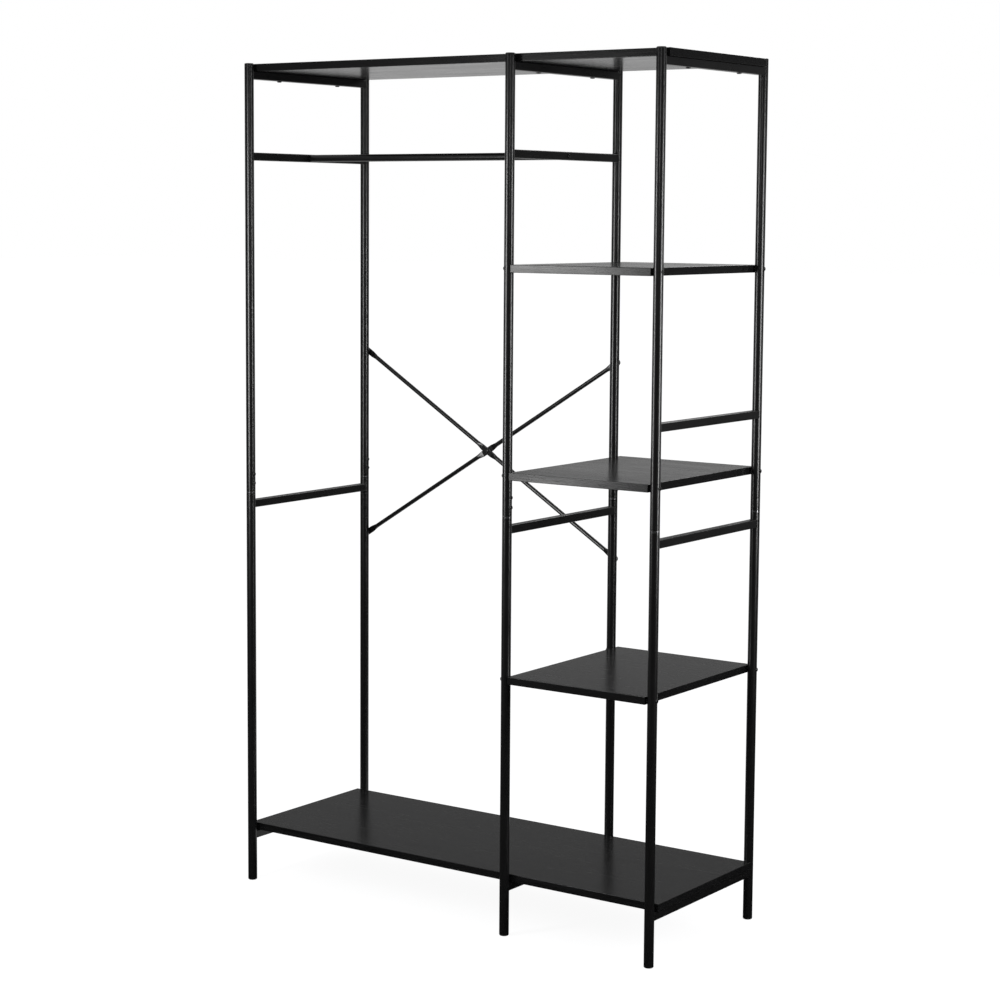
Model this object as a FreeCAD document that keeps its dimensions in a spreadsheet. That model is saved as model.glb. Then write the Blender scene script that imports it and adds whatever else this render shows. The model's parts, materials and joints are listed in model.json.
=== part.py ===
import FreeCAD, Part
import math
import os
import Sketcher

# An open frame wardrobe. Three ladder frames of round uprights and square bars carry a top board, a bottom
# board, three shelves in the narrow bay and a hanging rod in the wide bay, with a crossed brace behind it.
# X runs along the width, Y from front to back and Z up. The origin lies on the floor, midway between the
# outer uprights and midway between the front and back ones.

doc = FreeCAD.newDocument("Wardrobe")
sheet = doc.addObject("Spreadsheet::Sheet", "Sizes")

# Driving sizes, in millimetres unless the name says share
SIZES = {
    # Layout of the uprights, axis to axis
    "overall_height": "1800",
    "left_bay": "686",
    "right_bay": "350",
    "upright_spacing": "400",
    # Uprights and their joints
    "upright_diameter": "20",
    "upright_wall": "1",
    "joint_drop": "76",
    "collar_height": "4",
    "sleeve_reach": "50",
    "sleeve_wall": "1.5",
    "slip_clearance": "0.1",
    "cap_height": "3",
    "cap_stem": "12",
    "foot_height": "4",
    "foot_stem": "16",
    "plug_wall": "1.5",
    "flange_rounding_share": "0.7",
    # Cross bars
    "bar_size": "17",
    "bar_wall": "1.2",
    "bar_rounding_share": "1.5",
    "weld_gap": "0.1",
    "bottom_bar_height": "94",
    "waist_bar_drop": "25.5",
    "rod_drop": "182",
    "shelf_bar_rise": "118",
    # Boards and shelves
    "board_thickness": "16",
    "board_rounding": "1",
    "board_overhang": "12",
    "board_front_gap": "3",
    "board_back_gap": "0.5",
    "top_board_recess": "0.75",
    "shelf_proud": "0.75",
    "shelf_end_gap": "0.5",
    # Hanging rod
    "rod_diameter": "16",
    "rod_wall": "1",
    "rod_nut_length": "18",
    "rod_bolt_bite": "14",
    # Crossed brace
    "brace_diameter": "9.5",
    "brace_wall": "1.2",
    "brace_low_drop": "133.5",
    "brace_high_rise": "293.5",
    "brace_flat_width": "14",
    "brace_end_flat": "18",
    "brace_taper": "14",
    "brace_crossing_flat": "30",
    "brace_bolt_bite": "8",
    "rivet_nut_wall": "1.5",
    "rivet_nut_length": "11",
    "rivet_flange_lip": "1.5",
    "rivet_flange_height": "0.8",
    "pivot_diameter": "5",
    "pivot_head_lip": "2",
    "pivot_head_height": "1.8",
    "pivot_nut_wall": "1.5",
    "pivot_nut_height": "4",
    "pivot_tail": "1.5",
    # Bolts of the shelves, rod and brace
    "bolt_diameter": "6",
    "bolt_head_lip": "1.25",
    "bolt_head_height": "2",
    "socket_width": "4",
    "socket_depth": "1.5",
    "insert_wall": "1.5",
    "insert_length": "13",
    "insert_spare": "1",
    # Screws of the joints and boards
    "joint_screw_diameter": "5",
    "joint_screw_head_lip": "1.5",
    "joint_screw_head_height": "1.8",
    "joint_screw_bite": "2",
    "joint_screw_rise": "20",
    "joint_screw_inset": "12",
    "board_screw_diameter": "4",
    "board_screw_head_lip": "3",
    "board_screw_head_height": "2.5",
    "board_screw_cover": "3",
    "board_screw_spacing": "200",
    "recess_length": "4",
    "recess_width": "1",
    "recess_depth": "1.2",
    "head_rounding_share": "0.75",
    # Clearances round a shank and past its tip, and how far a cutter runs past a face
    "hole_clearance": "0.3",
    "thread_clearance": "0.05",
    "pocket_spare": "2",
    "cut_past": "1",
}
for row, (alias, amount) in enumerate(SIZES.items(), start=1):
    sheet.set(f"A{row}", alias)
    sheet.set(f"B{row}", amount)
    sheet.setAlias(f"B{row}", alias)
doc.recompute()

# Places and sizes that follow from the driving ones
FRAMES = ("left", "centre", "right")
DEPTHS = ("front", "back")
SHELVES = ("lower", "middle", "upper")
SHELF_FRAMES = ("centre", "right")
ROD_FRAMES = ("left", "centre")
BRACED_FRAMES = ("left", "centre")
SHELVES_OF_STOREY = {"lower": ("lower",), "upper": ("middle", "upper")}
JOINT_SCREW_SIDE = {"left": "+X", "centre": "+X", "right": "+Y"}
SHELF_BOLT_SIDE = {"centre": "-X", "right": "+X"}
ROD_BOLT_SIDE = {"left": "-X", "centre": "+X"}

FRAME_X = {
    "left": "(-(Sizes.left_bay + Sizes.right_bay) / 2)",
    "centre": "((Sizes.left_bay - Sizes.right_bay) / 2)",
    "right": "((Sizes.left_bay + Sizes.right_bay) / 2)",
}
DEPTH_Y = {"front": "(-Sizes.upright_spacing / 2)", "back": "(Sizes.upright_spacing / 2)"}
UPRIGHT_RADIUS = "(Sizes.upright_diameter / 2)"
UPRIGHT_BORE = f"({UPRIGHT_RADIUS} - Sizes.upright_wall)"
STEM_RADIUS = f"({UPRIGHT_BORE} - Sizes.slip_clearance)"
BOTTOM_BOARD_Z = "(Sizes.bottom_bar_height + Sizes.bar_size)"
TOP_BOARD_Z = "(Sizes.overall_height - Sizes.top_board_recess - Sizes.board_thickness)"
SHELF_PITCH = f"(({TOP_BOARD_Z} - {BOTTOM_BOARD_Z}) / {len(SHELVES) + 1})"
SHELF_Z = {
    shelf: f"({BOTTOM_BOARD_Z} + {step} * {SHELF_PITCH})" for step, shelf in enumerate(SHELVES, start=1)
}
SHELF_BOLT_Z = {shelf: f"({height} + Sizes.board_thickness / 2)" for shelf, height in SHELF_Z.items()}
JOINT_Z = f"({SHELF_Z['middle']} - Sizes.joint_drop)"
STOREY_ENDS = {
    "lower": ("Sizes.foot_height", f"({JOINT_Z} - Sizes.collar_height / 2)"),
    "upper": (f"({JOINT_Z} + Sizes.collar_height / 2)", "(Sizes.overall_height - Sizes.cap_height)"),
}
JOINT_SCREW_Z = (
    f"({JOINT_Z} + Sizes.joint_screw_rise)",
    f"({JOINT_Z} + Sizes.collar_height / 2 + Sizes.sleeve_reach - Sizes.joint_screw_inset)",
)
BRACE_Z = {"lower": f"({JOINT_Z} - Sizes.brace_low_drop)", "upper": f"({JOINT_Z} + Sizes.brace_high_rise)"}
ROD_Z = f"({TOP_BOARD_Z} - Sizes.rod_drop)"
BAR_Z = {
    "bottom": "(Sizes.bottom_bar_height + Sizes.bar_size / 2)",
    "waist": f"({JOINT_Z} - Sizes.waist_bar_drop)",
    "rod": ROD_Z,
    "shelf": f"({SHELF_BOLT_Z['middle']} + Sizes.shelf_bar_rise)",
    "top": f"({TOP_BOARD_Z} - Sizes.bar_size / 2)",
}
BARS_OF_FRAME = {
    "left": ("bottom", "waist", "rod", "top"),
    "centre": ("bottom", "waist", "rod", "top"),
    "right": ("bottom", "waist", "shelf", "top"),
}
BOARD_SCREW_Y = ("(-Sizes.board_screw_spacing / 2)", "(Sizes.board_screw_spacing / 2)")
BOARD_SCREW_BITE = "(Sizes.board_thickness - Sizes.board_screw_cover)"
SHELF_BOLT_BITE = "(Sizes.insert_length - Sizes.insert_spare)"
BOLT_RADIUS = "(Sizes.bolt_diameter / 2)"
BOLT_THREAD = f"({BOLT_RADIUS} + Sizes.thread_clearance)"
INSERT_RADIUS = f"({BOLT_RADIUS} + Sizes.insert_wall)"
RIVET_RADIUS = f"({BOLT_RADIUS} + Sizes.rivet_nut_wall)"
JOINT_SCREW_RADIUS = "(Sizes.joint_screw_diameter / 2)"
BOARD_SCREW_RADIUS = "(Sizes.board_screw_diameter / 2)"
PIVOT_RADIUS = "(Sizes.pivot_diameter / 2)"
BRACE_FLAT = "(2 * Sizes.brace_wall)"
BRACE_TAB_Y = f"({DEPTH_Y['back']} + {UPRIGHT_RADIUS} + Sizes.rivet_flange_height)"
BRACE_Y = f"({BRACE_TAB_Y} + {BRACE_FLAT} / 2)"

nodes = []


def keep(item):
    """Note an item as a finished sub-part of the wardrobe."""
    nodes.append(item)
    return item


def value(expression):
    """What an expression on the sizes comes to."""
    return float(sheet.evalExpression(expression))


def bind(item, expressions):
    """Tie properties of an item to expressions on the sizes."""
    for name, expression in expressions.items():
        item.setExpression(name, expression)


TURN = {
    "+Z": FreeCAD.Rotation(),
    "-Z": FreeCAD.Rotation(FreeCAD.Vector(1, 0, 0), 180),
    "+X": FreeCAD.Rotation(FreeCAD.Vector(0, 1, 0), 90),
    "-X": FreeCAD.Rotation(FreeCAD.Vector(0, 1, 0), -90),
    "+Y": FreeCAD.Rotation(FreeCAD.Vector(1, 0, 0), -90),
    "-Y": FreeCAD.Rotation(FreeCAD.Vector(1, 0, 0), 90),
}


def place(item, x, y, z, toward="+Z"):
    """Put an item's own origin at x, y, z, with its own Z axis turned toward a direction."""
    item.Placement = FreeCAD.Placement(FreeCAD.Vector(), TURN[toward])
    bind(item, {"Placement.Base.x": x, "Placement.Base.y": y, "Placement.Base.z": z})
    return item


def outward(toward, start, distance):
    """A coordinate at a distance from a start, on the side that a direction names."""
    return f"({start} {toward[0]} ({distance}))"


def cylinder(name, radius, height, x, y, z, toward="+Z"):
    """A plain cylinder that starts at x, y, z."""
    item = doc.addObject("Part::Cylinder", name)
    bind(item, {"Radius": radius, "Height": height})
    return place(item, x, y, z, toward)


def cut(label, base, cutters):
    """A base piece with every cutter taken out of it."""
    item = doc.addObject("Part::Cut", label)
    item.Base = base
    if len(cutters) == 1:
        item.Tool = cutters[0]
        return item
    tools = doc.addObject("Part::MultiFuse", f"{label}_cutters")
    tools.Shapes = cutters
    item.Tool = tools
    return item


def new_sketch(body, plane, name):
    """An empty sketch on one of the body's own origin planes."""
    sketch = body.newObject("Sketcher::SketchObject", name)
    support = next(feature for feature in body.Origin.OriginFeatures if feature.Role == plane)
    sketch.AttachmentSupport = (support, [""])
    sketch.MapMode = "FlatFace"
    return sketch


def hold(sketch, constraint, expression):
    """Add a constraint with a size, and tie the size to an expression."""
    index = sketch.addConstraint(constraint)
    sketch.setExpression(f"Constraints[{index}]", expression)


def add_circle(sketch, radius):
    """A circle about the sketch's origin."""
    amount = value(radius)
    index = sketch.addGeometry(Part.Circle(FreeCAD.Vector(), FreeCAD.Vector(0, 0, 1), amount))
    sketch.addConstraint(Sketcher.Constraint("Coincident", index, 3, -1, 1))
    hold(sketch, Sketcher.Constraint("Radius", index, amount), radius)


def add_outline(sketch, corners):
    """A closed outline of straight lines through the corners. Returns the first line's number."""
    first = sketch.GeometryCount
    count = len(corners)
    for step in range(count):
        sketch.addGeometry(Part.LineSegment(corners[step], corners[(step + 1) % count]))
    for step in range(count):
        following = first + (step + 1) % count
        sketch.addConstraint(Sketcher.Constraint("Coincident", first + step, 2, following, 1))
    return first


def add_rectangle(sketch, width, height):
    """A rectangle centred on the sketch's origin."""
    half_width = value(width) / 2
    half_height = value(height) / 2
    signs = ((-1, -1), (1, -1), (1, 1), (-1, 1))
    corners = [FreeCAD.Vector(across * half_width, up * half_height, 0) for across, up in signs]
    first = add_outline(sketch, corners)
    for step, kind in enumerate(("Horizontal", "Vertical", "Horizontal", "Vertical")):
        sketch.addConstraint(Sketcher.Constraint(kind, first + step))
    sketch.addConstraint(Sketcher.Constraint("Symmetric", first, 1, first + 2, 1, -1, 1))
    hold(sketch, Sketcher.Constraint("DistanceX", first, 1, first, 2, value(width)), width)
    hold(sketch, Sketcher.Constraint("DistanceY", first + 1, 1, first + 1, 2, value(height)), height)


def add_pad(body, sketch, length, side="One side"):
    """The sketch given a length along its normal."""
    feature = body.newObject("PartDesign::Pad", f"{body.Name}_pad")
    feature.Profile = sketch
    feature.SideType = side
    feature.setExpression("Length", length)
    return feature


def add_rounding(body, feature, wanted, radius):
    """Round those edges of a feature that a test picks out."""
    doc.recompute()
    edges = enumerate(feature.Shape.Edges, start=1)
    rounding = body.newObject("PartDesign::Fillet", f"{body.Name}_rounding")
    rounding.Base = (feature, [f"Edge{number}" for number, edge in edges if wanted(edge)])
    rounding.setExpression("Radius", radius)


def near(first, second):
    """Whether two lengths are the same but for rounding errors."""
    return abs(first - second) < 1e-6


def tube(name, outer, inner, length):
    """A round tube that stands on its own origin, along its own Z axis."""
    body = doc.addObject("PartDesign::Body", name)
    sketch = new_sketch(body, "XY_Plane", f"{name}_ring")
    add_circle(sketch, outer)
    add_circle(sketch, inner)
    add_pad(body, sketch, length)
    return body


def square_tube(name, size, wall, rounding, length):
    """A square tube along its own Y axis, centred on its own origin, with rounded outer edges."""
    body = doc.addObject("PartDesign::Body", name)
    sketch = new_sketch(body, "XZ_Plane", f"{name}_section")
    bore = f"({size} - 2 * {wall})"
    add_rectangle(sketch, size, size)
    add_rectangle(sketch, bore, bore)
    feature = add_pad(body, sketch, length, "Symmetric")
    half = value(size) / 2

    def outer_long_edge(edge):
        ends = edge.Vertexes
        along_y = near(ends[0].X, ends[1].X) and near(ends[0].Z, ends[1].Z)
        return along_y and near(abs(ends[0].X), half) and near(abs(ends[0].Z), half)

    add_rounding(body, feature, outer_long_edge, rounding)
    return body


def panel(name, width, depth):
    """A board with softened edges, centred over its own origin."""
    body = doc.addObject("PartDesign::Body", name)
    sketch = new_sketch(body, "XY_Plane", f"{name}_outline")
    add_rectangle(sketch, width, depth)
    feature = add_pad(body, sketch, "Sizes.board_thickness")
    add_rounding(body, feature, lambda edge: True, "Sizes.board_rounding")
    return body


def turned(name, outline, rim=None):
    """A body turned about its own Z axis from (radius, height) corners, with one rim rounded if given."""
    body = doc.addObject("PartDesign::Body", name)
    sketch = new_sketch(body, "XZ_Plane", f"{name}_outline")
    add_outline(sketch, [FreeCAD.Vector(value(radius), value(height), 0) for radius, height in outline])
    for number, corner in enumerate(outline):
        for kind, axis, amount in zip(("DistanceX", "DistanceY"), (-2, -1), corner):
            if amount == "0":
                sketch.addConstraint(Sketcher.Constraint("PointOnObject", number, 1, axis))
            else:
                hold(sketch, Sketcher.Constraint(kind, -1, 1, number, 1, value(amount)), amount)
    feature = body.newObject("PartDesign::Revolution", f"{name}_turn")
    feature.Profile = sketch
    feature.ReferenceAxis = (sketch, ["V_Axis"])
    feature.Angle = 360
    if rim:
        rim_radius, rim_height, rounding = rim

        def rim_edge(edge):
            curve = edge.Curve
            if not isinstance(curve, Part.Circle):
                return False
            return near(curve.Radius, value(rim_radius)) and near(curve.Center.z, value(rim_height))

        add_rounding(body, feature, rim_edge, rounding)
    return body


def ring(name, outer, inner, length):
    """A turned ring that stands on its own origin."""
    return turned(name, ((inner, "0"), (outer, "0"), (outer, length), (inner, length)))


def headed(name, shank_radius, shank_length, head_radius, head_height):
    """A screw or bolt blank with its tip on its own origin and a domed head on top."""
    top = f"({shank_length} + {head_height})"
    outline = (
        ("0", "0"),
        (shank_radius, "0"),
        (shank_radius, shank_length),
        (head_radius, shank_length),
        (head_radius, top),
        ("0", top),
    )
    return turned(name, outline, (head_radius, top, f"{head_height} * Sizes.head_rounding_share"))


def bolt(name, length):
    """A bolt with a low domed head and a hexagon socket."""
    blank = headed(
        f"{name}_blank",
        BOLT_RADIUS,
        length,
        f"({BOLT_RADIUS} + Sizes.bolt_head_lip)",
        "Sizes.bolt_head_height",
    )
    socket = doc.addObject("Part::Prism", f"{name}_socket")
    bind(
        socket,
        {"Circumradius": "Sizes.socket_width / sqrt(3)", "Height": "Sizes.socket_depth + Sizes.cut_past"},
    )
    place(socket, "0", "0", f"{length} + Sizes.bolt_head_height - Sizes.socket_depth")
    return cut(name, blank, [socket])


def cross_screw(name, shank_radius, length, head_radius, head_height):
    """A screw with a domed head and a cross recess."""
    blank = headed(f"{name}_blank", shank_radius, length, head_radius, head_height)
    slots = []
    for way, (along, across) in enumerate((("length", "width"), ("width", "length")), start=1):
        slot = doc.addObject("Part::Box", f"{name}_slot_{way}")
        slot_x = f"Sizes.recess_{along}"
        slot_y = f"Sizes.recess_{across}"
        bind(slot, {"Length": slot_x, "Width": slot_y, "Height": "Sizes.recess_depth + Sizes.cut_past"})
        slot_z = f"{length} + {head_height} - Sizes.recess_depth"
        slots.append(place(slot, f"-{slot_x} / 2", f"-{slot_y} / 2", slot_z))
    return cut(name, blank, slots)


def group(label, pattern, spots):
    """Copies of one small piece, each with its origin at a spot and its own Z axis toward a direction."""
    copies = []
    for number, (x, y, z, toward) in enumerate(spots, start=1):
        copy = doc.addObject("App::Link", f"{label}_{number}")
        copy.LinkedObject = pattern
        copy.LinkTransform = False
        copies.append(place(copy, x, y, z, toward))
    item = doc.addObject("Part::Compound", label)
    item.Links = copies
    return keep(item)


# Uprights
def upright_holes(label, frame, depth, storey):
    """Cutters for the shelf bolts, joint screws and brace bolt that one upright tube takes."""
    x = FRAME_X[frame]
    y = DEPTH_Y[depth]
    reach = f"({UPRIGHT_RADIUS} + Sizes.cut_past)"
    holes = []
    if frame in SHELF_FRAMES:
        bolt_hole = f"{BOLT_RADIUS} + Sizes.hole_clearance"
        start = f"{x} - {reach}"
        for shelf in SHELVES_OF_STOREY[storey]:
            name = f"{label}_{shelf}_shelf_hole"
            holes.append(cylinder(name, bolt_hole, f"2 * {reach}", start, y, SHELF_BOLT_Z[shelf], "+X"))
    if storey == "upper":
        screw_hole = f"{JOINT_SCREW_RADIUS} + Sizes.hole_clearance"
        for number, z in enumerate(JOINT_SCREW_Z, start=1):
            name = f"{label}_joint_hole_{number}"
            holes.append(cylinder(name, screw_hole, reach, x, y, z, JOINT_SCREW_SIDE[frame]))
    if frame in BRACED_FRAMES and depth == "back":
        rivet_hole = f"{RIVET_RADIUS} + Sizes.thread_clearance"
        holes.append(cylinder(f"{label}_brace_hole", rivet_hole, reach, x, y, BRACE_Z[storey], "+Y"))
    return holes


def make_upright(frame, depth, storey):
    """The lower or upper tube of one upright."""
    label = f"{frame}_{depth}_{storey}_upright"
    low, high = STOREY_ENDS[storey]
    holes = upright_holes(label, frame, depth, storey)
    blank = tube(f"{label}_blank" if holes else label, UPRIGHT_RADIUS, UPRIGHT_BORE, f"{high} - {low}")
    place(blank, FRAME_X[frame], DEPTH_Y[depth], low)
    keep(cut(label, blank, holes) if holes else blank)


# Sleeves, caps and plugs in the uprights
def make_sleeve(frame, depth):
    """The sleeve inside an upright's joint, with the collar that shows between the two tubes."""
    label = f"{frame}_{depth}_joint_sleeve"
    x = FRAME_X[frame]
    y = DEPTH_Y[depth]
    inner = f"({STEM_RADIUS} - Sizes.sleeve_wall)"
    collar_low = "Sizes.sleeve_reach"
    collar_high = "(Sizes.sleeve_reach + Sizes.collar_height)"
    end = "(2 * Sizes.sleeve_reach + Sizes.collar_height)"
    outline = (
        (inner, "0"),
        (STEM_RADIUS, "0"),
        (STEM_RADIUS, collar_low),
        (UPRIGHT_RADIUS, collar_low),
        (UPRIGHT_RADIUS, collar_high),
        (STEM_RADIUS, collar_high),
        (STEM_RADIUS, end),
        (inner, end),
    )
    blank = turned(f"{label}_blank", outline)
    place(blank, x, y, f"{JOINT_Z} - {end} / 2")
    thread = f"{JOINT_SCREW_RADIUS} + Sizes.thread_clearance"
    holes = []
    for number, z in enumerate(JOINT_SCREW_Z, start=1):
        name = f"{label}_thread_{number}"
        holes.append(cylinder(name, thread, UPRIGHT_RADIUS, x, y, z, JOINT_SCREW_SIDE[frame]))
    keep(cut(label, blank, holes))


def make_plug(label, frame, depth, end, height, stem, toward):
    """A hollow-stemmed plug that closes a tube end with a rounded flange."""
    hollow = f"({STEM_RADIUS} - Sizes.plug_wall)"
    top = f"({height} + {stem})"
    outline = (
        ("0", "0"),
        (UPRIGHT_RADIUS, "0"),
        (UPRIGHT_RADIUS, height),
        (STEM_RADIUS, height),
        (STEM_RADIUS, top),
        (hollow, top),
        (hollow, height),
        ("0", height),
    )
    body = turned(label, outline, (UPRIGHT_RADIUS, "0", f"{height} * Sizes.flange_rounding_share"))
    keep(place(body, FRAME_X[frame], DEPTH_Y[depth], end, toward))


# Cross bars
def make_bar(frame, level):
    """A square bar between the front and back uprights of a frame, its ends shaped to the tubes."""
    label = f"{frame}_{level}_bar"
    x = FRAME_X[frame]
    z = BAR_Z[level]
    rounding = "Sizes.bar_wall * Sizes.bar_rounding_share"
    section = ("Sizes.bar_size", "Sizes.bar_wall", rounding)
    blank = square_tube(f"{label}_blank", *section, "Sizes.upright_spacing")
    place(blank, x, "0", z)
    reach = "(Sizes.bar_size / 2 + Sizes.cut_past)"
    through = f"2 * {reach}"
    below = f"{z} - {reach}"
    seat = f"{UPRIGHT_RADIUS} + Sizes.weld_gap"
    cutters = []
    for depth in DEPTHS:
        cutters.append(cylinder(f"{label}_{depth}_seat", seat, through, x, DEPTH_Y[depth], below))
    if level in ("bottom", "top"):
        screw_hole = f"{BOARD_SCREW_RADIUS} + Sizes.hole_clearance"
        for number, y in enumerate(BOARD_SCREW_Y, start=1):
            cutters.append(cylinder(f"{label}_screw_hole_{number}", screw_hole, through, x, y, below))
    if level == "rod":
        bolt_hole = f"{BOLT_RADIUS} + Sizes.hole_clearance"
        cutters.append(cylinder(f"{label}_bolt_hole", bolt_hole, through, f"{x} - {reach}", "0", z, "+X"))
    keep(cut(label, blank, cutters))


# Boards and shelves
def make_board(label, z):
    """A board over the full width, between the front and back uprights, with pilot holes from below."""
    width = "Sizes.left_bay + Sizes.right_bay + 2 * Sizes.board_overhang"
    front = f"({DEPTH_Y['front']} + {UPRIGHT_RADIUS} + Sizes.board_front_gap)"
    back = f"({DEPTH_Y['back']} - {UPRIGHT_RADIUS} - Sizes.board_back_gap)"
    blank = panel(f"{label}_blank", width, f"{back} - {front}")
    place(blank, "0", f"({front} + {back}) / 2", z)
    pilot = f"{BOARD_SCREW_RADIUS} + Sizes.thread_clearance"
    length = f"Sizes.cut_past + {BOARD_SCREW_BITE} + Sizes.pocket_spare"
    pilots = []
    for frame in FRAMES:
        for number, y in enumerate(BOARD_SCREW_Y, start=1):
            name = f"{label}_{frame}_pilot_{number}"
            pilots.append(cylinder(name, pilot, length, FRAME_X[frame], y, f"{z} - Sizes.cut_past"))
    keep(cut(label, blank, pilots))


SHELF_END = f"({UPRIGHT_RADIUS} + Sizes.shelf_end_gap)"


def shelf_end_x(frame):
    """Where the shelves end beside a frame's uprights."""
    inward = "+" if SHELF_BOLT_SIDE[frame] == "-X" else "-"
    return f"({FRAME_X[frame]} {inward} {SHELF_END})"


def make_shelf(shelf):
    """A shelf between the centre and right uprights, with pockets for the insert nuts in its ends."""
    label = f"{shelf}_shelf"
    depth = "Sizes.upright_spacing + Sizes.upright_diameter + 2 * Sizes.shelf_proud"
    blank = panel(f"{label}_blank", f"Sizes.right_bay - 2 * {SHELF_END}", depth)
    place(blank, f"({FRAME_X['centre']} + {FRAME_X['right']}) / 2", "0", SHELF_Z[shelf])
    pocket = f"{INSERT_RADIUS} + Sizes.thread_clearance"
    length = "Sizes.cut_past + Sizes.insert_length + Sizes.pocket_spare"
    pockets = []
    for frame in SHELF_FRAMES:
        side = SHELF_BOLT_SIDE[frame]
        inward = "+X" if side == "-X" else "-X"
        start = outward(side, shelf_end_x(frame), "Sizes.cut_past")
        for depth_name in DEPTHS:
            name = f"{label}_{frame}_{depth_name}_pocket"
            pocket_at = (start, DEPTH_Y[depth_name], SHELF_BOLT_Z[shelf], inward)
            pockets.append(cylinder(name, pocket, length, *pocket_at))
    keep(cut(label, blank, pockets))


# Crossed brace
def pressed_wire(x, width, thickness, shift):
    """The pressed-flat section across the brace at x, shifted along Y, as two lines and two half rounds."""
    flat = (width - thickness) / 2
    front = shift - thickness / 2
    back = shift + thickness / 2
    low_front = FreeCAD.Vector(x, front, -flat)
    high_front = FreeCAD.Vector(x, front, flat)
    high_back = FreeCAD.Vector(x, back, flat)
    low_back = FreeCAD.Vector(x, back, -flat)
    top = FreeCAD.Vector(x, shift, width / 2)
    bottom = FreeCAD.Vector(x, shift, -width / 2)
    return Part.Wire(
        [
            Part.makeLine(low_front, high_front),
            Part.Arc(high_front, top, high_back).toShape(),
            Part.makeLine(high_back, low_back),
            Part.Arc(low_back, bottom, low_front).toShape(),
        ]
    )


def round_wire(x, radius):
    """The round section across the brace at x, as four quarter arcs that match the pressed section."""
    turns = (-135, 135, 45, -45)
    corners = []
    middles = []
    for turn, half_way in zip(turns, (180, 90, 0, -90)):
        for points, degrees in ((corners, turn), (middles, half_way)):
            angle = math.radians(degrees)
            points.append(FreeCAD.Vector(x, radius * math.cos(angle), radius * math.sin(angle)))
    arcs = []
    for step in range(len(turns)):
        arcs.append(Part.Arc(corners[step], middles[step], corners[(step + 1) % len(turns)]).toShape())
    return Part.Wire(arcs)


def pressed_end(width, thickness):
    """The rounded end of a pressed tab, turned from half of its section about the bolt's axis."""
    flat = (width - thickness) / 2
    half = thickness / 2
    front = FreeCAD.Vector(0, -half, 0)
    front_rim = FreeCAD.Vector(0, -half, flat)
    back_rim = FreeCAD.Vector(0, half, flat)
    back = FreeCAD.Vector(0, half, 0)
    outline = Part.Wire(
        [
            Part.makeLine(front, front_rim),
            Part.Arc(front_rim, FreeCAD.Vector(0, 0, width / 2), back_rim).toShape(),
            Part.makeLine(back_rim, back),
            Part.makeLine(back, front),
        ]
    )
    return Part.Face(outline).revolve(FreeCAD.Vector(), FreeCAD.Vector(0, 1, 0), 360)


def make_brace(label, start_level, slope, crossing_side):
    """A thin tube with pressed ends and a pressed crossing, from the left to the centre back upright."""
    width = value("Sizes.brace_flat_width")
    thickness = value(BRACE_FLAT)
    radius = value("Sizes.brace_diameter / 2")
    bore = radius - value("Sizes.brace_wall")
    rise = value("Sizes.brace_low_drop + Sizes.brace_high_rise")
    run = value("Sizes.left_bay")
    middle = math.hypot(run, rise) / 2
    taper = value("Sizes.brace_taper")
    end_flat = value("Sizes.brace_end_flat")
    crossing_start = middle - value("Sizes.brace_crossing_flat") / 2
    tube_start = end_flat + taper
    tube_end = crossing_start - taper
    shift = crossing_side * thickness / 2
    along = FreeCAD.Vector(1, 0, 0)
    across = FreeCAD.Vector(0, 1, 0)

    tab = Part.Face(pressed_wire(0, width, thickness, 0)).extrude(along * end_flat)
    tab_wire = pressed_wire(end_flat, width, thickness, 0)
    tab_taper = Part.makeLoft([tab_wire, round_wire(tube_start, radius)], True)
    tube_origin = along * tube_start
    tube_length = tube_end - tube_start
    outer = Part.makeCylinder(radius, tube_length, tube_origin, along)
    hollow = outer.cut(Part.makeCylinder(bore, tube_length, tube_origin, along))
    crossing_wire = pressed_wire(crossing_start, width, thickness, shift)
    crossing_taper = Part.makeLoft([round_wire(tube_end, radius), crossing_wire], True)
    crossing = Part.Face(crossing_wire).extrude(along * (middle - crossing_start))
    half = pressed_end(width, thickness).fuse([tab, tab_taper, hollow, crossing_taper, crossing])
    whole = half.fuse(half.mirror(along * middle, along)).removeSplitter()

    end_hole = value(f"{BOLT_RADIUS} + Sizes.hole_clearance")
    pivot_hole = value(f"{PIVOT_RADIUS} + Sizes.hole_clearance")
    holes = []
    for place_along, hole in ((0, end_hole), (middle, pivot_hole), (2 * middle, end_hole)):
        origin = along * place_along - across * radius
        holes.append(Part.makeCylinder(hole, 2 * radius, origin, across))
    item = doc.addObject("Part::Feature", label)
    item.Shape = whole.cut(holes).Solids[0]
    start = FreeCAD.Vector(value(FRAME_X["left"]), value(BRACE_Y), value(BRACE_Z[start_level]))
    tilt = FreeCAD.Rotation(across, -slope * math.degrees(math.atan2(rise, run)))
    item.Placement = FreeCAD.Placement(start, tilt)
    keep(item)


for frame in FRAMES:
    for depth in DEPTHS:
        for storey in STOREY_ENDS:
            make_upright(frame, depth, storey)
        make_sleeve(frame, depth)
        cap = ("Sizes.overall_height", "Sizes.cap_height", "Sizes.cap_stem", "-Z")
        make_plug(f"{frame}_{depth}_top_cap", frame, depth, *cap)
        foot = ("0", "Sizes.foot_height", "Sizes.foot_stem", "+Z")
        make_plug(f"{frame}_{depth}_foot_plug", frame, depth, *foot)
    for level in BARS_OF_FRAME[frame]:
        make_bar(frame, level)

make_board("bottom_board", BOTTOM_BOARD_Z)
make_board("top_board", TOP_BOARD_Z)
for shelf in SHELVES:
    make_shelf(shelf)

make_brace("rising_brace", "lower", 1, 1)
make_brace("falling_brace", "upper", -1, -1)

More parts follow.
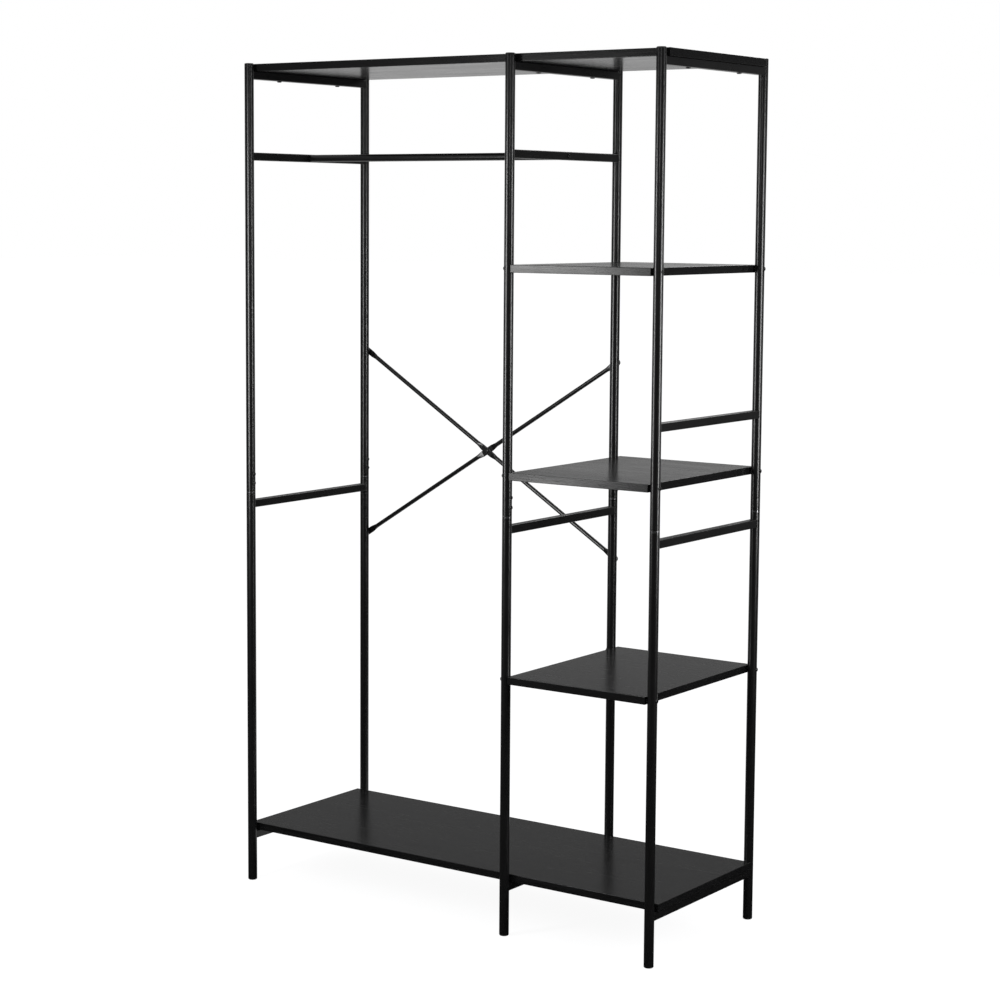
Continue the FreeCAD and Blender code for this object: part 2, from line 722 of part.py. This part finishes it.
# Hanging rod with its end nuts and bolts
rod_start = f"({FRAME_X['left']} + Sizes.bar_size / 2)"
rod_end = f"({FRAME_X['centre']} - Sizes.bar_size / 2)"
rod_bore = "(Sizes.rod_diameter / 2 - Sizes.rod_wall)"
hanging_rod = tube("hanging_rod", "Sizes.rod_diameter / 2", rod_bore, f"{rod_end} - {rod_start}")
keep(place(hanging_rod, rod_start, "0", ROD_Z, "+X"))

rod_nut_radius = f"{rod_bore} - Sizes.thread_clearance"
rod_nut = ring("rod_nut_pattern", rod_nut_radius, BOLT_THREAD, "Sizes.rod_nut_length")
group("rod_end_nuts", rod_nut, ((rod_start, "0", ROD_Z, "+X"), (rod_end, "0", ROD_Z, "-X")))

rod_bolt_length = "(Sizes.bar_size + Sizes.rod_bolt_bite)"
rod_bolt_spots = []
for frame in ROD_FRAMES:
    side = ROD_BOLT_SIDE[frame]
    tip = outward(side, FRAME_X[frame], f"Sizes.bar_size / 2 - {rod_bolt_length}")
    rod_bolt_spots.append((tip, "0", ROD_Z, side))
group("rod_bolts", bolt("rod_bolt_pattern", rod_bolt_length), rod_bolt_spots)

# Shelf bolts and the insert nuts that they turn into
shelf_bolt_length = f"(Sizes.upright_diameter + Sizes.shelf_end_gap + {SHELF_BOLT_BITE})"
shelf_bolt_spots = []
insert_spots = []
for shelf in SHELVES:
    for frame in SHELF_FRAMES:
        side = SHELF_BOLT_SIDE[frame]
        inward = "+X" if side == "-X" else "-X"
        tip = outward(side, FRAME_X[frame], f"{UPRIGHT_RADIUS} - {shelf_bolt_length}")
        for depth in DEPTHS:
            shelf_bolt_spots.append((tip, DEPTH_Y[depth], SHELF_BOLT_Z[shelf], side))
            insert_spots.append((shelf_end_x(frame), DEPTH_Y[depth], SHELF_BOLT_Z[shelf], inward))
group("shelf_bolts", bolt("shelf_bolt_pattern", shelf_bolt_length), shelf_bolt_spots)
insert = ring("shelf_insert_pattern", INSERT_RADIUS, BOLT_THREAD, "Sizes.insert_length")
group("shelf_insert_nuts", insert, insert_spots)

# Screws through the upper tubes into the joint sleeves
joint_wall = "(Sizes.upright_wall + Sizes.slip_clearance + Sizes.sleeve_wall)"
joint_screw_length = f"({joint_wall} + Sizes.joint_screw_bite)"
joint_screw = cross_screw(
    "joint_screw_pattern",
    JOINT_SCREW_RADIUS,
    joint_screw_length,
    f"({JOINT_SCREW_RADIUS} + Sizes.joint_screw_head_lip)",
    "Sizes.joint_screw_head_height",
)
joint_screw_spots = []
for frame in FRAMES:
    side = JOINT_SCREW_SIDE[frame]
    axis = side[1]
    for depth in DEPTHS:
        tip = {"X": FRAME_X[frame], "Y": DEPTH_Y[depth]}
        tip[axis] = outward(side, tip[axis], f"{UPRIGHT_RADIUS} - {joint_screw_length}")
        for z in JOINT_SCREW_Z:
            joint_screw_spots.append((tip["X"], tip["Y"], z, side))
group("joint_screws", joint_screw, joint_screw_spots)

# Screws from below, through the bottom and top bars into the boards
board_screw_length = f"(Sizes.bar_size + {BOARD_SCREW_BITE})"
board_screw = cross_screw(
    "board_screw_pattern",
    BOARD_SCREW_RADIUS,
    board_screw_length,
    f"({BOARD_SCREW_RADIUS} + Sizes.board_screw_head_lip)",
    "Sizes.board_screw_head_height",
)
board_screw_spots = []
for board_z in (BOTTOM_BOARD_Z, TOP_BOARD_Z):
    for frame in FRAMES:
        for y in BOARD_SCREW_Y:
            board_screw_spots.append((FRAME_X[frame], y, f"{board_z} + {BOARD_SCREW_BITE}", "-Z"))
group("board_screws", board_screw, board_screw_spots)

# Fasteners of the crossed brace
rivet_top = "(Sizes.rivet_nut_length + Sizes.rivet_flange_height)"
rivet_flange = f"({RIVET_RADIUS} + Sizes.rivet_flange_lip)"
rivet_outline = (
    (BOLT_THREAD, "0"),
    (RIVET_RADIUS, "0"),
    (RIVET_RADIUS, "Sizes.rivet_nut_length"),
    (rivet_flange, "Sizes.rivet_nut_length"),
    (rivet_flange, rivet_top),
    (BOLT_THREAD, rivet_top),
)
rivet_nut = turned("rivet_nut_pattern", rivet_outline)
brace_bolt_length = f"({BRACE_FLAT} + Sizes.rivet_flange_height + Sizes.brace_bolt_bite)"
brace_bolt_tip = f"{BRACE_TAB_Y} + {BRACE_FLAT} - {brace_bolt_length}"
brace_spots = [(FRAME_X[frame], BRACE_Z[level]) for frame in BRACED_FRAMES for level in BRACE_Z]
rivet_y = f"{BRACE_TAB_Y} - {rivet_top}"
group("brace_rivet_nuts", rivet_nut, [(x, rivet_y, z, "+Y") for x, z in brace_spots])
brace_bolt = bolt("brace_bolt_pattern", brace_bolt_length)
group("brace_end_bolts", brace_bolt, [(x, brace_bolt_tip, z, "+Y") for x, z in brace_spots])

crossing_x = f"({FRAME_X['left']} + {FRAME_X['centre']}) / 2"
crossing_z = f"({BRACE_Z['lower']} + {BRACE_Z['upper']}) / 2"
pivot_length = f"(2 * {BRACE_FLAT} + Sizes.pivot_nut_height + Sizes.pivot_tail)"
pivot_bolt = headed(
    "brace_pivot_bolt",
    PIVOT_RADIUS,
    pivot_length,
    f"({PIVOT_RADIUS} + Sizes.pivot_head_lip)",
    "Sizes.pivot_head_height",
)
keep(place(pivot_bolt, crossing_x, f"{BRACE_Y} - {BRACE_FLAT} + {pivot_length}", crossing_z, "-Y"))

pivot_nut_blank = doc.addObject("Part::Prism", "brace_pivot_nut_blank")
pivot_nut_corner = f"2 * ({PIVOT_RADIUS} + Sizes.pivot_nut_wall) / sqrt(3)"
bind(pivot_nut_blank, {"Circumradius": pivot_nut_corner, "Height": "Sizes.pivot_nut_height"})
place(pivot_nut_blank, crossing_x, f"{BRACE_Y} + {BRACE_FLAT}", crossing_z, "+Y")
pivot_thread = f"{PIVOT_RADIUS} + Sizes.thread_clearance"
pivot_bore_length = "Sizes.pivot_nut_height + 2 * Sizes.cut_past"
pivot_bore_y = f"{BRACE_Y} + {BRACE_FLAT} - Sizes.cut_past"
pivot_bore = cylinder(
    "brace_pivot_nut_thread", pivot_thread, pivot_bore_length, crossing_x, pivot_bore_y, crossing_z, "+Y"
)
keep(cut("brace_pivot_nut", pivot_nut_blank, [pivot_bore]))

# Every object is sound before anything is written
doc.recompute()
for item in doc.Objects:
    if "Invalid" in item.State or "Error" in item.State:
        raise RuntimeError(f"{item.Label} did not build: {item.State}")
for item in nodes:
    if item.Shape.isNull() or not item.Shape.isValid():
        raise RuntimeError(f"{item.Label} has no sound shape")

os.makedirs("parts", exist_ok=True)
for item in nodes:
    item.Shape.exportStep(f"parts/{item.Label}.step")
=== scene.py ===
import json
import math

import bpy
from mathutils import Matrix, Vector

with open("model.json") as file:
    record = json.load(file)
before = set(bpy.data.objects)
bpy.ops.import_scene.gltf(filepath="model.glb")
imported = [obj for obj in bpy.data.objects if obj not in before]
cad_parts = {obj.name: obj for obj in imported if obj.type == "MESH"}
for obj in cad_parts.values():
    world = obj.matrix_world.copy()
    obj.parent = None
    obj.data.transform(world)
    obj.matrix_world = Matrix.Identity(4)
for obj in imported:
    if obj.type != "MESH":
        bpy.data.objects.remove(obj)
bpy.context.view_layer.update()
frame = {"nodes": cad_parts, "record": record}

# The dressed open frame wardrobe: black powder-coated tubes, black wood-grain boards, plastic caps and plugs
# and black fasteners, on a pale floor in a white studio. Everything is in metres.
scene = bpy.context.scene
scene.view_settings.view_transform = "Standard"

OPAQUE = 1.0
WHITE = (1.0, 1.0, 1.0, OPAQUE)
COOL_TINT = 1.04

# Sockets of a Mix node that mixes colours
MIX_SHARE = 0
MIX_FIRST = 6
MIX_SECOND = 7
MIX_RESULT = 2


class Wire:
    """One value in a finish's nodes. Sums, differences, products and sizes of wires add Math nodes."""

    def __init__(self, finish, socket):
        self.finish = finish
        self.socket = socket

    def __add__(self, other):
        return self.finish.reckon("ADD", self, other)

    def __radd__(self, other):
        return self.finish.reckon("ADD", other, self)

    def __sub__(self, other):
        return self.finish.reckon("SUBTRACT", self, other)

    def __rsub__(self, other):
        return self.finish.reckon("SUBTRACT", other, self)

    def __mul__(self, other):
        return self.finish.reckon("MULTIPLY", self, other)

    def __rmul__(self, other):
        return self.finish.reckon("MULTIPLY", other, self)

    def __abs__(self):
        return self.finish.reckon("ABSOLUTE", self)


class Finish:
    """The nodes of one material or of the world."""

    def __init__(self, tree):
        self.tree = tree
        tree.nodes.clear()

    def add(self, kind, settings=None, sockets=None, result=0):
        """One node of a kind, with its settings made first and then its sockets filled or linked."""
        node = self.tree.nodes.new(kind)
        for name, setting in (settings or {}).items():
            if name == "stops":
                for element, position in zip(node.color_ramp.elements, setting):
                    element.position = position
            else:
                setattr(node, name, setting)
        for name, filling in (sockets or {}).items():
            if isinstance(filling, Wire):
                self.tree.links.new(filling.socket, node.inputs[name])
            else:
                node.inputs[name].default_value = filling
        return Wire(self, node.outputs[result]) if node.outputs else None

    def reckon(self, operation, *values):
        """A Math node on one or two values."""
        return self.add("ShaderNodeMath", {"operation": operation}, dict(enumerate(values)))

    def place(self):
        """Where a point lies, in metres from the wardrobe's origin."""
        return self.add("ShaderNodeTexCoord", result="Object")

    def grain_place(self, along, across):
        """The place scaled along the grain, which runs in X, and across it."""
        sockets = {"Vector": self.place(), "Scale": (along, across, across)}
        return self.add("ShaderNodeMapping", sockets=sockets)

    def axis(self, vector, letter):
        """One axis of a vector."""
        return self.add("ShaderNodeSeparateXYZ", sockets={0: vector}, result=letter)

    def noise(self, where, scale, detail=2.0, roughness=0.5, distortion=0.0):
        """Soft noise between about 0.2 and 0.8."""
        sockets = {
            "Vector": where,
            "Scale": scale,
            "Detail": detail,
            "Roughness": roughness,
            "Distortion": distortion,
        }
        return self.add("ShaderNodeTexNoise", {"noise_dimensions": "3D"}, sockets, "Fac")

    def ramp(self, value, low, high):
        """0 below low, 1 above high and a straight rise between."""
        return self.add("ShaderNodeValToRGB", {"stops": (low, high)}, {"Fac": value})

    def blend(self, share, first, second):
        """A colour between two colours."""
        settings = {"data_type": "RGBA", "blend_type": "MIX"}
        sockets = {MIX_SHARE: share, MIX_FIRST: first, MIX_SECOND: second}
        return self.add("ShaderNodeMix", settings, sockets, MIX_RESULT)

    def bump(self, height, strength, depth):
        """A normal that follows a height, where 1 stands for the depth."""
        sockets = {"Height": height, "Strength": strength, "Distance": depth}
        return self.add("ShaderNodeBump", sockets=sockets)

    def ray(self, kind):
        """1 for rays of a kind, such as Camera or Glossy, and 0 for all others."""
        return self.add("ShaderNodeLightPath", result=f"Is {kind} Ray")

    def matt(self, colour):
        """A shader for a matt surface."""
        return self.add("ShaderNodeBsdfDiffuse", sockets={"Color": colour})

    def glow(self, strength):
        """A shader that gives off white light."""
        return self.add("ShaderNodeEmission", sockets={"Color": WHITE, "Strength": strength})

    def mix(self, share, first, second):
        """A shader between two shaders."""
        return self.add("ShaderNodeMixShader", sockets={0: share, 1: first, 2: second})

    def show(self, shader):
        """The shader becomes the surface of the material."""
        self.add("ShaderNodeOutputMaterial", sockets={"Surface": shader})

    def coat(self, sockets):
        """A Principled shader becomes the surface of the material."""
        self.show(self.add("ShaderNodeBsdfPrincipled", sockets=sockets))


def new_finish(name):
    """An empty material and its nodes."""
    material = bpy.data.materials.new(name)
    material.use_nodes = True
    return material, Finish(material.node_tree)


def grey(level):
    """A grey with a very slight blue tint."""
    return (level, level, level * COOL_TINT, OPAQUE)


def powder_coat():
    """Satin black powder coat on steel tube, with its fine orange peel."""
    material, finish = new_finish("black_powder_coat")
    dark = grey(0.0022)
    light = grey(0.0042)
    place = finish.place()
    mottle = finish.noise(place, scale=9.0, detail=3.0)
    peel = finish.noise(place, scale=620.0)
    grit = finish.noise(place, scale=2100.0, detail=1.0)
    finish.coat(
        {
            "Base Color": finish.blend(mottle, dark, light),
            "Roughness": 0.23 + 0.08 * mottle + 0.03 * grit,
            "IOR": 1.5,
            "Normal": finish.bump(0.8 * peel + 0.2 * grit, strength=0.03, depth=0.0001),
        }
    )
    return material


def sleeve_paint():
    """Smooth dark paint with a metallic shine on the collars of the joints."""
    material, finish = new_finish("black_sleeve_paint")
    dark = grey(0.10)
    light = grey(0.16)
    mottle = finish.noise(finish.place(), scale=160.0, detail=3.0)
    finish.coat(
        {
            "Base Color": finish.blend(mottle, dark, light),
            "Roughness": 0.14 + 0.10 * mottle,
            "Metallic": 0.8 + 0.2 * mottle,
            "IOR": 1.6,
            "Normal": finish.bump(mottle, strength=0.1, depth=0.00005),
        }
    )
    return material


def grain_foil():
    """Black wood-grain foil: long streaks, short open pores, and duller front and back edges."""
    material, finish = new_finish("black_grain_foil")
    dark = grey(0.0022)
    light = grey(0.0062)
    pore_black = grey(0.0015)
    figure_place = finish.grain_place(along=1.3, across=16.0)
    figure = finish.noise(figure_place, scale=3.2, detail=4.0, roughness=0.55, distortion=1.2)
    streak_place = finish.grain_place(along=2.6, across=110.0)
    streaks = finish.noise(streak_place, scale=2.4, detail=5.0, roughness=0.62, distortion=0.4)
    pore_place = finish.grain_place(along=16.0, across=620.0)
    pores = finish.ramp(finish.noise(pore_place, scale=1.6), low=0.54, high=0.68)
    cloud = finish.noise(finish.place(), scale=2.6)
    lines = finish.ramp(0.45 * figure + 0.40 * streaks + 0.15 * cloud, low=0.36, high=0.64)
    wood = finish.blend(lines, dark, light)
    normal = finish.add("ShaderNodeTexCoord", result="Normal")
    edges = finish.ramp(abs(finish.axis(normal, "Y")), low=0.3, high=0.7)
    finish.coat(
        {
            "Base Color": finish.blend(0.8 * pores, wood, pore_black),
            "Roughness": 0.26 - 0.11 * lines + 0.05 * pores + 0.06 * edges,
            "IOR": 1.35,
            "Normal": finish.bump(0.7 * lines - 0.3 * pores, strength=0.18, depth=0.00025),
        }
    )
    return material


def moulded_plastic():
    """Matt black moulded plastic of the caps and plugs, with a fine spark texture."""
    material, finish = new_finish("black_moulded_plastic")
    dark = grey(0.003)
    light = grey(0.006)
    place = finish.place()
    spark = finish.noise(place, scale=1500.0, roughness=0.6)
    cloud = finish.noise(place, scale=60.0)
    finish.coat(
        {
            "Base Color": finish.blend(cloud, dark, light),
            "Roughness": 0.36 + 0.16 * spark,
            "IOR": 1.48,
            "Normal": finish.bump(spark, strength=0.3, depth=0.0001),
        }
    )
    return material


def black_oxide():
    """Black coated steel of the screws and bolts, a little brighter where it is rubbed."""
    material, finish = new_finish("black_coated_fastener")
    coated = grey(0.006)
    rubbed = grey(0.025)
    wear = finish.noise(finish.place(), scale=420.0, detail=3.0, roughness=0.6)
    rub = finish.ramp(wear, low=0.45, high=0.75)
    finish.coat(
        {
            "Base Color": finish.blend(rub, coated, rubbed),
            "Roughness": 0.26 + 0.12 * rub,
            "Metallic": 0.2 + 0.3 * rub,
            "IOR": 1.6,
            "Normal": finish.bump(rub, strength=0.1, depth=0.00005),
        }
    )
    return material


def zinc_plate():
    """Dull zinc plate on the nuts inside the tubes and boards."""
    material, finish = new_finish("zinc_plated_steel")
    dark = grey(0.42)
    light = grey(0.62)
    spangle = finish.noise(finish.place(), scale=700.0, detail=3.0, roughness=0.6)
    finish.coat(
        {
            "Base Color": finish.blend(spangle, dark, light),
            "Roughness": 0.30 + 0.15 * spangle,
            "Metallic": 1.0,
            "Normal": finish.bump(spangle, strength=0.1, depth=0.00005),
        }
    )
    return material


FINISH_OF_SLOT = {
    "black_steel": powder_coat(),
    "black_sleeve": sleeve_paint(),
    "black_board": grain_foil(),
    "black_plastic": moulded_plastic(),
    "black_fastener": black_oxide(),
    "plated_steel": zinc_plate(),
}
for subpart in frame["record"]["subparts"]:
    node = frame["nodes"][subpart["node"]]
    for slot in node.material_slots:
        slot.material = FINISH_OF_SLOT[subpart["material_slot"]]


# Camera at the photograph's viewing angle
EYE = Vector((2.84946, -4.03776, 1.48409))
TURN_LEFT = math.radians(35.1254)
TILT_DOWN = math.radians(6.181)
ROLL = math.radians(0.4038)
LOOK_LEVEL = math.radians(90.0)
FOCAL_PIXELS = 2329.47
FRAME_PIXELS = 1000.0
SENSOR_WIDTH = 36.0
FRAME_SHIFT = -0.035


def set_camera():
    """The camera of the main view."""
    lens = bpy.data.cameras.new("camera")
    lens.sensor_fit = "HORIZONTAL"
    lens.sensor_width = SENSOR_WIDTH
    lens.lens = SENSOR_WIDTH * FOCAL_PIXELS / FRAME_PIXELS
    lens.shift_y = FRAME_SHIFT
    camera = bpy.data.objects.new("camera", lens)
    scene.collection.objects.link(camera)
    aim = Matrix.Rotation(TURN_LEFT, 4, "Z") @ Matrix.Rotation(LOOK_LEVEL - TILT_DOWN, 4, "X")
    camera.matrix_world = Matrix.Translation(EYE) @ aim @ Matrix.Rotation(ROLL, 4, "Z")
    scene.camera = camera


set_camera()


# A tall strip light on each side, a wide light behind and above, and a small high one in front
def soft_light(name, spot, target, width, length, power):
    """A soft rectangular light that faces a target and is not seen by the camera."""
    lamp = bpy.data.lights.new(name, "AREA")
    lamp.shape = "RECTANGLE"
    lamp.size = width
    lamp.size_y = length
    lamp.energy = power
    light = bpy.data.objects.new(name, lamp)
    scene.collection.objects.link(light)
    aim = (Vector(target) - Vector(spot)).to_track_quat("-Z", "Y")
    light.matrix_world = Matrix.Translation(spot) @ aim.to_matrix().to_4x4()
    light.visible_camera = False


soft_light(
    "left_strip",
    spot=(-0.51, -1.36, 1.23),
    target=(0.01, -0.06, 1.23),
    width=0.28,
    length=0.92,
    power=15.0,
)
soft_light(
    "right_strip",
    spot=(1.90, 0.12, 1.18),
    target=(0.40, 0.00, 1.18),
    width=0.28,
    length=1.03,
    power=18.5,
)
soft_light(
    "back_high",
    spot=(0.0, 2.35, 2.6),
    target=(0.0, 0.0, 0.8),
    width=1.6,
    length=0.6,
    power=16.0,
)
soft_light(
    "high_front",
    spot=(1.02, -1.32, 1.70),
    target=(0.0, -0.1, 1.70),
    width=0.30,
    length=0.13,
    power=1.2,
)


# The studio, in strengths of white light. Each edge says where a change starts and where it is complete: the
# backdrop's by how far a direction turns towards it, and the ceiling's by how far a direction rises.
BEHIND = (-math.sin(TURN_LEFT), math.cos(TURN_LEFT), 0.0)
BACKDROP_EDGE = (0.42, 0.75)
BACKDROP_LOW = 1.0
BACKDROP_HIGH = 0.15
BACKDROP_TOP = 0.3
ROOM_GLOSS = 0.02
CEILING_GLOSS = 0.4
FRONT_CEILING_EDGE = (0.1, 0.4)
BACK_CEILING_EDGE = (0.3, 0.6)
ROOM_LIGHT = 0.55
CEILING_LIGHT = 0.5
FULL_WHITE = 1.0


def behind_share(finish, direction):
    """1 towards the backdrop behind the rack, 0 towards the room in front."""
    settings = {"operation": "DOT_PRODUCT"}
    facing = finish.add("ShaderNodeVectorMath", settings, {0: direction, 1: BEHIND}, "Value")
    return finish.ramp(facing, *BACKDROP_EDGE)


def mirrored_studio(finish, direction, height):
    """What gloss mirrors: a backdrop that is brightest low down, a dim room and a pale ceiling."""
    lowness = finish.add(
        "ShaderNodeMapRange",
        {"interpolation_type": "LINEAR"},
        {"Value": height, "From Min": BACKDROP_TOP, "From Max": 0.0},
    )
    backdrop = BACKDROP_HIGH + (BACKDROP_LOW - BACKDROP_HIGH) * (lowness * lowness * lowness)
    back = backdrop + CEILING_GLOSS * finish.ramp(height, *BACK_CEILING_EDGE)
    front = ROOM_GLOSS + CEILING_GLOSS * finish.ramp(height, *FRONT_CEILING_EDGE)
    return front + (back - front) * behind_share(finish, direction)


def set_world():
    """A studio that is white to the camera, soft to matt surfaces and shaped for gloss."""
    world = bpy.data.worlds.new("studio")
    world.use_nodes = True
    scene.world = world
    finish = Finish(world.node_tree)
    direction = finish.add("ShaderNodeTexCoord", result="Generated")
    height = finish.axis(direction, "Z")
    soft = ROOM_LIGHT + CEILING_LIGHT * finish.reckon("MAXIMUM", height, 0.0)
    gloss = mirrored_studio(finish, direction, height)
    plain = soft + finish.ray("Glossy") * (gloss - soft)
    white = finish.reckon("MAXIMUM", finish.ray("Camera"), finish.ray("Transmission"))
    strength = plain + white * (FULL_WHITE - plain)
    light = finish.add("ShaderNodeBackground", sockets={"Color": WHITE, "Strength": strength})
    finish.add("ShaderNodeOutputWorld", sockets={"Surface": light})


set_world()


# Floor
FLOOR_SIDE = 100.0
FLOOR_COLOUR = (0.85, 0.85, 0.85, OPAQUE)
FLOOR_GLOW = 0.93
FLOOR_GLOSS = 0.6
SHADOW_SHARE = 0.12


def lay_floor():
    """A pale floor that keeps a faint shadow round the rack and runs out into the white studio."""
    bpy.ops.mesh.primitive_plane_add(size=FLOOR_SIDE, location=(0.0, 0.0, 0.0))
    floor = bpy.context.active_object
    floor.name = "floor"
    material, finish = new_finish("pale_floor")
    settings = {"operation": "NORMALIZE"}
    direction = finish.add("ShaderNodeVectorMath", settings, {0: finish.place()}, "Vector")
    behind = behind_share(finish, direction)
    mirrored = finish.mix(behind, finish.glow(ROOM_GLOSS), finish.glow(FLOOR_GLOSS))
    bounced = finish.mix(finish.ray("Glossy"), finish.matt(FLOOR_COLOUR), mirrored)
    shadowed = {0: finish.matt(grey(SHADOW_SHARE)), 1: finish.glow(FLOOR_GLOW)}
    seen = finish.add("ShaderNodeAddShader", sockets=shadowed)
    finish.show(finish.mix(finish.ray("Camera"), bounced, seen))
    floor.data.materials.append(material)


lay_floor()
